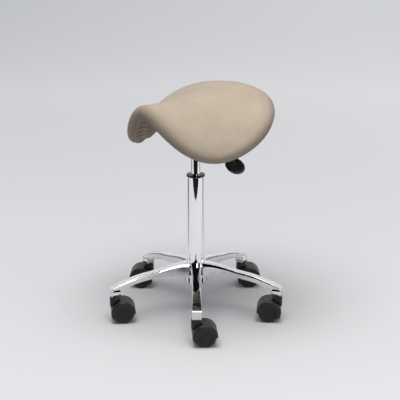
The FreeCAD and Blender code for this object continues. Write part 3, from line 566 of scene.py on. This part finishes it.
def gatherBand():
    # from behind the edge of the cover, round the rest of the rim and in to the opening. Each fold is a
    # rounded ridge between sharp valleys, leans a little sideways and deepens inwards
    angle = np.linspace(0, 2 * math.pi, gathers["around"], endpoint=False)[None, :]
    way = np.linspace(0, 1, gathers["rows"])[:, None]
    onRim = np.clip(way / gathers["share"], 0, 1)
    turn = math.pi * (saddle["wrap"] - 0.02 + (1.02 - saddle["wrap"]) * onRim)
    inward = np.clip((way - gathers["share"]) / (1 - gathers["share"]), 0, 1)
    scale = 1 + (gathers["inner"] - 1) * inward
    uneven = (1.9 * np.sin(3 * angle + 0.4) + 1.1 * np.sin(8 * angle + 2.1) + 0.7 * np.sin(19 * angle + 5.0)
              + 0.5 * np.sin(13 * angle + 6 * way))
    phase = gathers["folds"] / 2 * angle + uneven + gathers["lean"] * way
    ridge = np.abs(np.sin(phase)) ** gathers["ridgePower"]
    pair = np.abs(np.sin(phase * 0.5 + 1.3)) ** gathers["pairPower"]
    form = 0.6 * ridge + 0.4 * pair
    grow = eased((way - gathers["start"]) / gathers["grown"])
    strength = 0.8 + 0.3 * np.sin(7 * angle + 1.1) * np.sin(2 * angle + 4.0)
    # the folds lie behind the rim at first, then come level with the board under the pad
    level = eased((gathers["levelFrom"] - scale) / gathers["levelOver"])
    sunk = gathers["sunk"] * (1 - level) - gathers["proud"] * level
    height = gathers["depth"] * (1 - 0.2 * level) * grow * strength * form
    height = height - sunk * grow - gathers["tucked"] * (1 - grow)
    reach = saddle["radius"] + height
    points = padPoint(scale, np.broadcast_to(angle, reach.shape), (reach * np.cos(turn))[..., None],
                      (reach * np.sin(turn))[..., None])
    piece = addMesh("gatherBand", points, gridFaces(gathers["rows"], gathers["around"]), looks["cover"])
    # painted shade: the fold valleys are painted dark and the ridges lighter, and the band starts with the
    # rim's painted shade
    lit = 0.05 + 0.50 * form ** 1.6
    setField(piece, "open", (saddle["rimLow"] * (1 - grow) + lit * grow).reshape(-1))
    stand(outward(piece), "seat", "cover")


hem = {"steps": 480, "sides": 12, "thick": 0.0035, "ripple": 0.18, "drop": 0.004}


def hemRing():
    # rolled hem with its draw cord, round the opening under the seat
    angle = np.linspace(0, 2 * math.pi, hem["steps"], endpoint=False)[:, None]
    around = np.linspace(0, 2 * math.pi, hem["sides"], endpoint=False)[None, :]
    thick = hem["thick"] * (1 + hem["ripple"] * np.abs(np.sin(44 * angle + 1.5 * np.sin(5 * angle))))
    middle = padPoint(gathers["inner"], angle, -(saddle["radius"] + hem["drop"]))
    normal = saddleNormal(-np.cos(angle) * gathers["inner"], np.sin(angle) * gathers["inner"])
    out = saddleOut(angle)
    points = middle + normal * (thick * np.cos(around))[..., None] + out * (thick * np.sin(around))[..., None]
    points = np.vstack([points, points[:1]])
    piece = addMesh("hemRing", points, gridFaces(len(points), hem["sides"]), looks["cover"])
    stand(outward(piece), "seat", "cover")


seatCover()
gatherBand()
hemRing()
print("saddle made")


# star base

base = {
    "turn": 318.0, "legs": 5, "stemCircle": 0.2355, "end": 0.249, "endLength": 0.027, "endHalf": 0.01325,
    # rings of the square end: height above its foot, and how far each is drawn in
    "footRise": (0, 0.0004, 0.0012, 0.012), "endTop": (0.0935, 0.0965),
    "endInset": (0.0022, 0.0008, 0.0, 0.0, 0.0004, 0.004), "endEasing": 0.2,
    # hub: radius and height above its foot, then radius and height above the floor
    "hubFoot": ((0.0252, 0), (0.0300, 0), (0.0310, 0.004), (0.0310, 0.019), (0.0302, 0.026)),
    "hubTop": ((0.0302, 0.134), (0.0262, 0.1475), (0.0252, 0.1475)), "hubEasing": 0.0018, "hubDrop": 0.003,
    "hubSteps": 128,
    # leg section in shares of its half width and height, and the easing of its corners
    "section": ((-0.80, 0.0), (0.80, 0.0), (1.0, 0.78), (0.80, 1.0), (-0.80, 1.0), (-1.0, 0.78)),
    "easing": (0.08, 0.08, 0.12, 0.14, 0.14, 0.12), "slices": 70, "start": 0.022,
    # where the flat top starts to spread to the full width, over what length and by how much
    "spreadFrom": 0.17, "spreadOver": 0.07, "spread": 0.16, "spreadAbove": 0.85,
    # eased tip: distance from the end, and how far it is drawn in
    "tipBack": (0.0012, 0.0005, 0.0), "tipInset": (0.0004, 0.0011, 0.0022), "tipStart": 0.0018,
    # reach, half width, top, underside
    "stations": (
        (0.022, 0.0190, 0.1495, 0.105),
        (0.034, 0.0172, 0.1485, 0.109),
        (0.050, 0.0152, 0.1470, 0.1135),
        (0.080, 0.0132, 0.1418, 0.1150),
        (0.124, 0.0125, 0.1322, 0.1140),
        (0.167, 0.0124, 0.1250, 0.1070),
        (0.201, 0.0127, 0.1155, 0.0980),
        (0.225, 0.0131, 0.1075, 0.0895),
        (0.249, 0.01325, 0.0970, 0.0810),
    ),
}


def smoothLine(places, values, at):
    # cubic pieces through the places, each with the mean slope of its two sides
    places = np.array(places, float)
    values = np.array(values, float)
    slope = np.gradient(values, places)
    k = np.clip(np.searchsorted(places, at) - 1, 0, len(places) - 2)
    span = places[k + 1] - places[k]
    u = (at - places[k]) / span
    return (values[k] * (1 + 2 * u) * (1 - u) ** 2 + slope[k] * span * u * (1 - u) ** 2
            + values[k + 1] * u * u * (3 - 2 * u) + slope[k + 1] * span * u * u * (u - 1))


def legPoints(angle):
    # one section with a flat top and a waist, carried out along the reach while it drops and narrows
    straight = np.linspace(base["start"], base["end"] - base["tipStart"], base["slices"])
    reach = np.concatenate([straight, base["end"] - np.array(base["tipBack"])])
    shrink = np.concatenate([np.zeros(base["slices"]), base["tipInset"]])[:, None]
    columns = np.array(base["stations"]).T
    half, top, low = (smoothLine(columns[0], columns[k], reach)[:, None] for k in (1, 2, 3))
    outline = roundCorners(base["section"], base["easing"], 5, True)
    share = np.clip((reach[:, None] - base["spreadFrom"]) / base["spreadOver"], 0, 1)
    spread = share * base["spread"] * (outline[None, :, 1] > base["spreadAbove"])
    across = (outline[None, :, 0] + np.sign(outline[None, :, 0]) * spread) * (half - shrink)
    up = low + shrink + outline[None, :, 1] * (top - low - 2 * shrink)
    out = np.broadcast_to(reach[:, None], across.shape)
    return turnedTo(np.stack([out, across, up], -1), angle)


def legAngle(k):
    return math.radians(base["turn"] + 360 / base["legs"] * k)


def turnedTo(points, angle):
    c, s = math.cos(angle), math.sin(angle)
    return points @ np.array([[c, s, 0], [-s, c, 0], [0, 0, 1]])


def bossPoints(angle):
    # square end of the leg: a rounded rectangle in plan, with its foot eased
    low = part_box("star_base")[0].z
    levels = np.array([low + rise for rise in base["footRise"]] + list(base["endTop"]))
    inset = np.array(base["endInset"])[:, None]
    middle = base["end"] - base["endLength"] / 2
    halfLong = base["endLength"] / 2
    outline = roundCorners([(-1, -1), (1, -1), (1, 1), (-1, 1)], base["endEasing"], 5, True)
    x = middle + outline[None, :, 0] * (halfLong - inset)
    y = outline[None, :, 1] * (base["endHalf"] - inset)
    z = np.broadcast_to(levels[:, None], x.shape)
    return turnedTo(np.stack([x, y, z], -1), angle)


def starBase():
    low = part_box("outer_column")[0].z - base["hubDrop"]
    corners = [(radius, low + rise) for radius, rise in base["hubFoot"]] + list(base["hubTop"])
    hub = roundCorners(corners, base["hubEasing"], 4, True)
    verts = [turnedPoints(hub, upright, base["hubSteps"]).reshape(-1, 3)]
    faces = loopFaces(len(hub), base["hubSteps"])
    first = len(hub) * base["hubSteps"]
    for k in range(base["legs"]):
        turn = legAngle(k)
        for points in (legPoints(turn), bossPoints(turn)):
            v, f = closedTube(points, first)
            verts.append(v)
            faces.extend(f)
            first += len(v)
    piece = addMesh("starBase", np.vstack(verts), faces, looks["polished_aluminium"])
    stand(outward(piece), "base", "polished_aluminium", "star_base")


starBase()
print("star base made")


# column and gas spring

def turnedPiece(name, corners, easing, place, slot, body, *replaced, steps=128, closed=True):
    outline = roundCorners(corners, easing, 4, closed)
    points = turnedPoints(outline, place, steps)
    if closed:
        piece = addMesh(name, points, loopFaces(len(outline), steps), looks[slot])
    else:
        piece = addMesh(name, *closedTube(points), looks[slot])
    stand(outward(piece), body, slot, *replaced)


column = {
    "wall": 0.0018, "easing": 0.0006, "collarBore": 0.01405, "collarBevel": 0.0015, "collarTop": 0.0160,
    "springBore": 0.0118, "springRadius": 0.0140, "springNeck": 0.0130,
    "springEasing": (0.0002, 0.001, 0, 0.0006, 0.0002),
}


def columnPieces():
    low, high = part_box("outer_column")
    radius = high.x
    inner = radius - column["wall"]
    corners = [(inner, low.z), (radius, low.z), (radius, high.z), (inner, high.z)]
    turnedPiece("outerColumn", corners, column["easing"], upright, "chrome", "base", "outer_column")
    low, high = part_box("guide_bush")
    lip = high.x
    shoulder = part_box("outer_column")[1].z
    bore, edge = column["collarBore"], high.z - column["collarBevel"]
    corners = [(bore, low.z), (inner, low.z), (inner, shoulder), (lip, shoulder), (lip, edge),
               (lip - column["wall"], high.z), (column["collarTop"], high.z), (bore, edge)]
    turnedPiece("guideCollar", corners, column["easing"], upright, "black_plastic", "base", "guide_bush")
    low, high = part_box("gas_cylinder")
    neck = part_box("taper_socket")[0].z
    bore, radius = column["springBore"], column["springRadius"]
    corners = [(bore, low.z), (radius, low.z), (radius, neck), (column["springNeck"], high.z), (bore, high.z)]
    turnedPiece("gasCylinder", corners, column["springEasing"], upright, "chrome", "seat", "gas_cylinder")


columnPieces()
print("column made")


# castors

castors = {
    "headings": (51.0, 223.0, 50.0, 224.0, 53.0), "trail": 0.021, "wheel": 0.0300, "gap": 0.0166,
    "width": 0.020, "hoodRadius": 0.0341, "skirt": 0.0210, "halfWidth": 0.0309, "rear": -4.0, "front": 212.0,
    "wall": 0.0022, "hoodEasing": 0.0065, "hoodRows": 72, "edgeBevel": 0.0005,
    # housing round the stem: plan, then the height of each ring and how far it is drawn in
    "housing": ((-0.0155, -0.0145), (0.0125, -0.0145), (0.0125, 0.0145), (-0.0155, 0.0145)),
    "housingLevels": (0.045, 0.0465, 0.065, 0.0695, 0.0720, 0.0728),
    "housingInset": (0.002, 0.0, 0.0, 0.0006, 0.0022, 0.0045), "housingEasing": 0.007,
    "cap": 0.0075, "bore": 0.00405, "boreDepth": 0.016, "wheelEasing": 0.0009, "wheelSteps": 72,
}


def castorPlace(k):
    # origin at the stem on the floor, first axis towards the axle
    angle = legAngle(k)
    heading = math.radians(castors["headings"][k])
    origin = np.array([base["stemCircle"] * math.cos(angle), base["stemCircle"] * math.sin(angle), 0])
    return frameAt(origin, (0, 0, 1), (math.cos(heading), math.sin(heading), 0))


def put(points, place):
    origin, turn = place
    return points @ turn.T + origin


def hoodPiece(k):
    # a U-shaped section, skirt, crown and skirt, carried round the axle from rear to front
    place = castorPlace(k)
    full, skirt, crown = castors["halfWidth"], castors["skirt"], castors["hoodRadius"]
    corners = [(-full, skirt), (-full, crown), (full, crown), (full, skirt)]
    section = roundCorners(corners, castors["hoodEasing"], 7)
    rows = castors["hoodRows"]
    angle = np.radians(np.linspace(castors["rear"], castors["front"], rows))[:, None]
    radius = np.broadcast_to(section[None, :, 1], (rows, len(section)))
    across = np.broadcast_to(section[None, :, 0], (rows, len(section)))
    fender = np.stack([castors["trail"] + radius * np.cos(angle), across,
                       castors["wheel"] + radius * np.sin(angle)], -1)
    faces = gridFaces(rows, len(section), False)
    piece = addMesh(f"castorHood_{k + 1}", put(fender, place), faces, looks["castor_hood"])
    wall = piece.modifiers.new("wall", "SOLIDIFY")
    wall.thickness = castors["wall"]
    wall.offset = -1
    edge = piece.modifiers.new("edge", "BEVEL")
    edge.width = castors["edgeBevel"]
    edge.segments = 2
    finishModifiers(piece)
    rest = addMesh(f"hoodHousing_{k + 1}", *closedTube(housingPoints(place)), looks["castor_hood"])
    outward(rest)
    rest.parent = piece
    stand(piece, f"castor_{k + 1}", "castor_hood", f"castor_hood_{k + 1}")


def housingPoints(place):
    # rounded block round the stem that sinks into the crown of the hood
    levels = np.array(castors["housingLevels"])
    inset = np.array(castors["housingInset"])[:, None]
    outline = roundCorners(castors["housing"], castors["housingEasing"], 7, True)
    middle = outline.mean(0)
    shape = outline - middle
    reach = np.abs(shape).max(0)
    x = middle[0] + shape[None, :, 0] * (reach[0] - inset) / reach[0]
    y = middle[1] + shape[None, :, 1] * (reach[1] - inset) / reach[1]
    z = np.broadcast_to(levels[:, None], x.shape)
    return put(np.stack([x, y, z], -1), place)


def wheelPieces(k):
    # turned wheel: crowned tread, a raised rim, a dished disc and a low hub cap
    origin, turn = castorPlace(k)
    centre = origin + turn @ np.array([castors["trail"], 0, castors["wheel"]])
    r, w = castors["wheel"], castors["width"]
    cap, bore, depth = castors["cap"], castors["bore"], castors["boreDepth"]
    # from the cap out over the disc, rim and tread, then back along the inner face and into the bore
    corners = [(0.0, w - 0.0008), (cap, w - 0.0008), (cap + 0.0010, w - 0.0020), (r - 0.0105, w - 0.0014),
               (r - 0.0098, w - 0.0002), (r - 0.0050, w), (r - 0.0012, w - 0.0016), (r, w - 0.0060),
               (r, 0.0045), (r - 0.0016, 0.0006), (r - 0.0055, 0.0), (bore, 0.0), (bore, depth), (0.0, depth)]
    for side, name in ((1, "left"), (-1, "right")):
        axis = turn[:, 1] * side
        start = centre + axis * castors["gap"] / 2
        place = frameAt(start, axis, (0, 0, 1))
        node = f"wheel_{name}_{k + 1}"
        turnedPiece(f"{node}_turned", corners, castors["wheelEasing"], place, "castor_wheel",
                    f"{name}_wheel_{k + 1}", node, steps=castors["wheelSteps"], closed=False)


for k in range(base["legs"]):
    hoodPiece(k)
    wheelPieces(k)
print("castors made")


# lever

paddle = {
    "width": 0.062, "length": 0.054, "thick": 0.009, "dish": 0.0022, "dishShare": 0.85, "slope": 41.0,
    "rings": 28, "steps": 96, "planPower": 0.55, "edgePower": 0.8,
}


def leverPaddle():
    # an oval disc: its half thickness follows a rounded edge, and its upper face is dished
    low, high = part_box("lever_paddle")
    slope = math.radians(paddle["slope"])
    centre = np.array([(low.x + high.x) / 2, 0, (low.z + high.z) / 2])
    c, s = math.cos(slope), math.sin(slope)
    turn = np.array([[c, 0, s], [0, 1, 0], [-s, 0, c]])
    around = np.linspace(0, 2 * math.pi, paddle["steps"], endpoint=False)[None, :]
    way = np.linspace(0, math.pi, paddle["rings"] * 2)[1:-1, None]
    size = np.sin(way) ** paddle["planPower"]
    half = paddle["thick"] / 2
    rise = half * np.sign(np.cos(way)) * np.abs(np.cos(way)) ** paddle["edgePower"]
    hollow = np.clip(1 - (size / paddle["dishShare"]) ** 2, 0, 1)
    dish = np.where(np.cos(way) > 0, paddle["dish"] * hollow, 0)
    x = size * np.cos(around) * paddle["length"] / 2
    y = size * np.sin(around) * paddle["width"] / 2
    z = np.broadcast_to(rise - dish, x.shape)
    points = np.stack([x, y, z], -1) @ turn.T + centre
    piece = addMesh("leverPaddle", *closedTube(points), looks["black_plastic"])
    stand(outward(piece), "lever", "black_plastic", "lever_paddle")


leverPaddle()
print("lever made")


# blank label on the square end of the leg that faces the front

label = {
    "leg": 0, "half": 0.0120, "low": 0.0752, "high": 0.0952, "lift": 0.00015, "thick": 0.00018, "bow": 0.0004,
    "columns": 15, "rows": 11,
}


def blankLabel():
    # a flat sheet that bows very slightly away from the metal at its edges
    angle = legAngle(label["leg"])
    across = np.linspace(-1, 1, label["columns"])[:, None]
    up = np.linspace(-1, 1, label["rows"])[None, :]
    out = base["end"] + label["lift"] + label["bow"] * (across ** 4 + up ** 4) / 2
    middle = (label["low"] + label["high"]) / 2
    half = (label["high"] - label["low"]) / 2
    points = np.stack([out, np.broadcast_to(across * label["half"], out.shape),
                       np.broadcast_to(middle + up * half, out.shape)], -1)
    faces = gridFaces(label["columns"], label["rows"], False)
    piece = addMesh("blankLabel", turnedTo(points, angle), faces, paperLabel())
    wall = piece.modifiers.new("wall", "SOLIDIFY")
    wall.thickness = label["thick"]
    wall.offset = 1
    finishModifiers(piece)
    stand(outward(piece), "base", "polished_aluminium")


blankLabel()


# studio

studio = {
    "azimuth": 47.1, "pitch": 17.764, "distance": 3.2905, "height": 1.3821, "aside": 0.011885, "lens": 112.4,
    "floor": (0.70, 0.70, 0.71), "floorSize": 14.0, "glow": 0.40, "top": 60.0, "right": 7.0, "left": 2.5,
    "world": 0.29, "frontEdge": 1.07, "cardReach": 5.0, "frontLevel": 0.001, "frontTone": 0.012,
    # painted light: emission glow of the paper by the distance from the stool: where it starts, over what
    # length, its share
    "farGlow": (0.45, 2.4, 0.84), "farPower": 0.85, "nearGlow": (0.21, 0.22, 0.16), "glowLean": 0.10,
    # direction from the front, nearest and furthest distance, half width at the far end, tone
    "seams": ((-104, 0.5, 2.2, 0.42, 0.07), (104, 0.5, 2.2, 0.36, 0.13)), "seamLevel": 0.0015,
    "seamStart": 0.01,
    # painted reflections seen only in the metal. name: (right, front), width, low, high, tone, glow
    "walls": {
        "backWall": ((0.0, -6.0), 16.0, 0.0, 3.4, 0.0, 0.80),
        "darkWall": ((0.0, 5.5), 16.0, 0.0, 7.0, 0.01, 0.0),
        "frontLampReflection": ((1.6, 4.6), 1.5, 1.2, 3.6, 0.0, 3.5),
        "sideLampReflection": ((5.0, -0.6), 3.0, 0.9, 3.6, 0.0, 1.6),
        "otherLampReflection": ((-5.0, -0.6), 2.4, 0.9, 3.6, 0.0, 1.2),
    },
}


def cameraAndStudio():
    scene = bpy.context.scene
    side = math.radians(studio["azimuth"])
    right = np.array([math.cos(side), math.sin(side), 0])
    front = np.array([math.sin(side), -math.cos(side), 0])
    up = np.array([0, 0, 1.0])
    view = bpy.data.objects.new("camera", bpy.data.cameras.new("camera"))
    view.data.sensor_width = 36
    view.data.lens = studio["lens"]
    view.location = front * studio["distance"] + right * studio["aside"] + up * studio["height"]
    view.rotation_euler = (math.radians(90 - studio["pitch"]), 0, side)
    scene.collection.objects.link(view)
    scene.camera = view

    paper = Shader("floorPaper")
    mottle = paper.noise(1.2, 2.0, 0.5)
    tone = studio["floor"]
    # painted light: the paper glows by emission, standing in for light from behind, where it runs off into
    # the distance, and a little more to the right
    x, y = paper.split(paper.objectPlace())[:2]
    ahead = x * front[0] + y * front[1]
    aside = x * right[0] + y * right[1]
    away = (ahead * ahead + aside * aside) ** 0.5
    farStart, farOver, farShare = studio["farGlow"]
    nearStart, nearOver, nearShare = studio["nearGlow"]
    far = ((away - farStart) / farOver).clamp() ** studio["farPower"] * farShare
    spread = far + ((away - nearStart) / nearOver).clamp() * nearShare
    glow = (spread * (0.9 + aside * studio["glowLean"])).clamp() * studio["glow"]
    paper.set(Base_Color=paper.mixed(mottle, tuple(0.97 * c for c in tone), tone), Roughness=0.85,
              Specular_IOR_Level=0.2, Emission_Color=paper.mixed(glow, (0, 0, 0), (0.97, 0.985, 1.0)),
              Emission_Strength=1.0)

    def sheet(name, low, high, level, material):
        # flat rectangle on the floor, from low to high as distances right and to the front
        corners = np.array([[low[0], low[1]], [high[0], low[1]], [high[0], high[1]], [low[0], high[1]]])
        points = corners[:, :1] * right + corners[:, 1:] * front + up * level
        piece = addMesh(name, points, [[3, 2, 1, 0]], material, False)
        return piece

    reach = studio["floorSize"]
    sheet("floor", (-reach, -reach), (reach, reach), 0.0, paper.material)

    def hide(piece):
        # painted reflection: seen only in the polished metal
        piece.visible_camera = False
        piece.visible_diffuse = False
        piece.visible_shadow = False

    def dullGrey(name, tone):
        dull = Shader(name)
        dull.set(Base_Color=(tone, tone, tone * 1.06, 1), Roughness=0.9, Specular_IOR_Level=0.0)
        return dull.material

    # painted reflections, seen only in the metal: a dark floor past the front edge of the paper, and two grey
    # seams that run out sideways
    reach = studio["cardReach"]
    dark = dullGrey("reflectedDarkFloor", studio["frontTone"])
    near = (-reach, studio["frontEdge"])
    hide(sheet("frontCard", near, (reach, reach), studio["frontLevel"], dark))
    for k, (turn, start, stop, half, tone) in enumerate(studio["seams"]):
        along = front * math.cos(math.radians(turn)) + right * math.sin(math.radians(turn))
        over = right * math.cos(math.radians(turn)) - front * math.sin(math.radians(turn))
        narrow = studio["seamStart"]
        points = np.array([along * start - over * narrow, along * start + over * narrow,
                           along * stop + over * half, along * stop - over * half]) + up * studio["seamLevel"]
        grey = dullGrey(f"seamGrey_{k + 1}", tone)
        seam = addMesh(f"seam_{k + 1}", points, [[0, 1, 2, 3]], grey, False)
        hide(seam)

    def wall(name, middle, wide, low, high, tone, strength):
        # painted reflection: upright card facing the stool; it glows by its strength and shows only in the
        # metal
        centre = right * middle[0] + front * middle[1]
        side = np.array([-centre[1], centre[0], 0]) / np.linalg.norm(centre)
        points = np.array([centre - side * wide / 2 + up * low, centre + side * wide / 2 + up * low,
                           centre + side * wide / 2 + up * high, centre - side * wide / 2 + up * high])
        glowing = Shader(name)
        glowing.set(Base_Color=(tone, tone, tone, 1), Roughness=1.0, Specular_IOR_Level=0.0,
                    Emission_Color=(1, 1, 1, 1), Emission_Strength=strength)
        card = addMesh(name, points, [[0, 1, 2, 3]], glowing.material, False)
        hide(card)

    for name, values in studio["walls"].items():
        wall(name, *values)

    def softbox(name, place, aim, size, power):
        lamp = bpy.data.objects.new(name, bpy.data.lights.new(name, "AREA"))
        lamp.data.shape = "RECTANGLE"
        lamp.data.size, lamp.data.size_y = size
        lamp.data.energy = power
        at = right * place[0] + front * place[1] + up * place[2]
        lamp.location = at
        lamp.rotation_euler = Vector(np.array([0, 0, aim]) - at).to_track_quat("-Z", "Y").to_euler()
        lamp.visible_camera = False
        scene.collection.objects.link(lamp)

    softbox("topBox", (-0.1, 0.5, 2.7), 0.3, (2.0, 1.6), studio["top"])
    softbox("rightBox", (2.4, 1.0, 1.7), 0.4, (0.8, 1.8), studio["right"])
    softbox("leftBox", (-2.6, -0.6, 1.8), 0.4, (0.6, 1.8), studio["left"])

    world = bpy.data.worlds.new("studio")
    scene.world = world
    world.use_nodes = True
    background = world.node_tree.nodes["Background"]
    background.inputs["Color"].default_value = (0.93, 0.95, 1, 1)
    background.inputs["Strength"].default_value = studio["world"]
    scene.view_settings.view_transform = "Standard"


cameraAndStudio()

print("studio ready")
